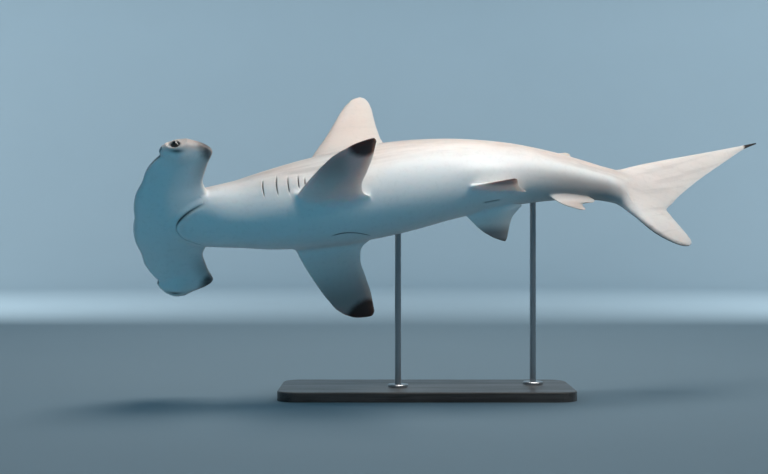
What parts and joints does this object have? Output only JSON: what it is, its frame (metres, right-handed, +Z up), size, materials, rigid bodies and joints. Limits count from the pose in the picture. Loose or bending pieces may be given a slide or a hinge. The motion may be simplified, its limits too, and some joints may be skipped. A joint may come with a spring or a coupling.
{
  "type": "hammerhead shark model on display stand",
  "caption": "Life-size scalloped hammerhead shark in a banked swimming turn, held above a flat base by plain upright rods.",
  "frame": {"origin": "centre of the base plate's underside, on the floor", "axes": "+X along the base from the snout towards the tail, +Z up; the shark's belly leans towards -Y"},
  "size_m": [2.0918, 0.9726, 0.9707],
  "materials": {
    "shark_skin": "satin skin, grey above and pale below",
    "eye": "glossy",
    "stand_plate": "satin paint",
    "stand_steel": "brushed"
  },
  "bodies": {
    "root": {"head": "shark_skin", "neck": "shark_skin", "torso": "shark_skin", "abdomen": "shark_skin", "tail_stock": "shark_skin", "caudal_upper_lobe": "shark_skin", "caudal_lower_lobe": "shark_skin", "first_dorsal_fin": "shark_skin", "second_dorsal_fin": "shark_skin", "pectoral_fin_left": "shark_skin", "pectoral_fin_right": "shark_skin", "pelvic_fin_left": "shark_skin", "pelvic_fin_right": "shark_skin", "anal_fin": "shark_skin", "eye_left": "eye", "eye_right": "eye", "stand_base": "stand_plate", "stand_rod_front": "stand_steel", "stand_rod_rear": "stand_steel"}
  },
  "joints": []
}
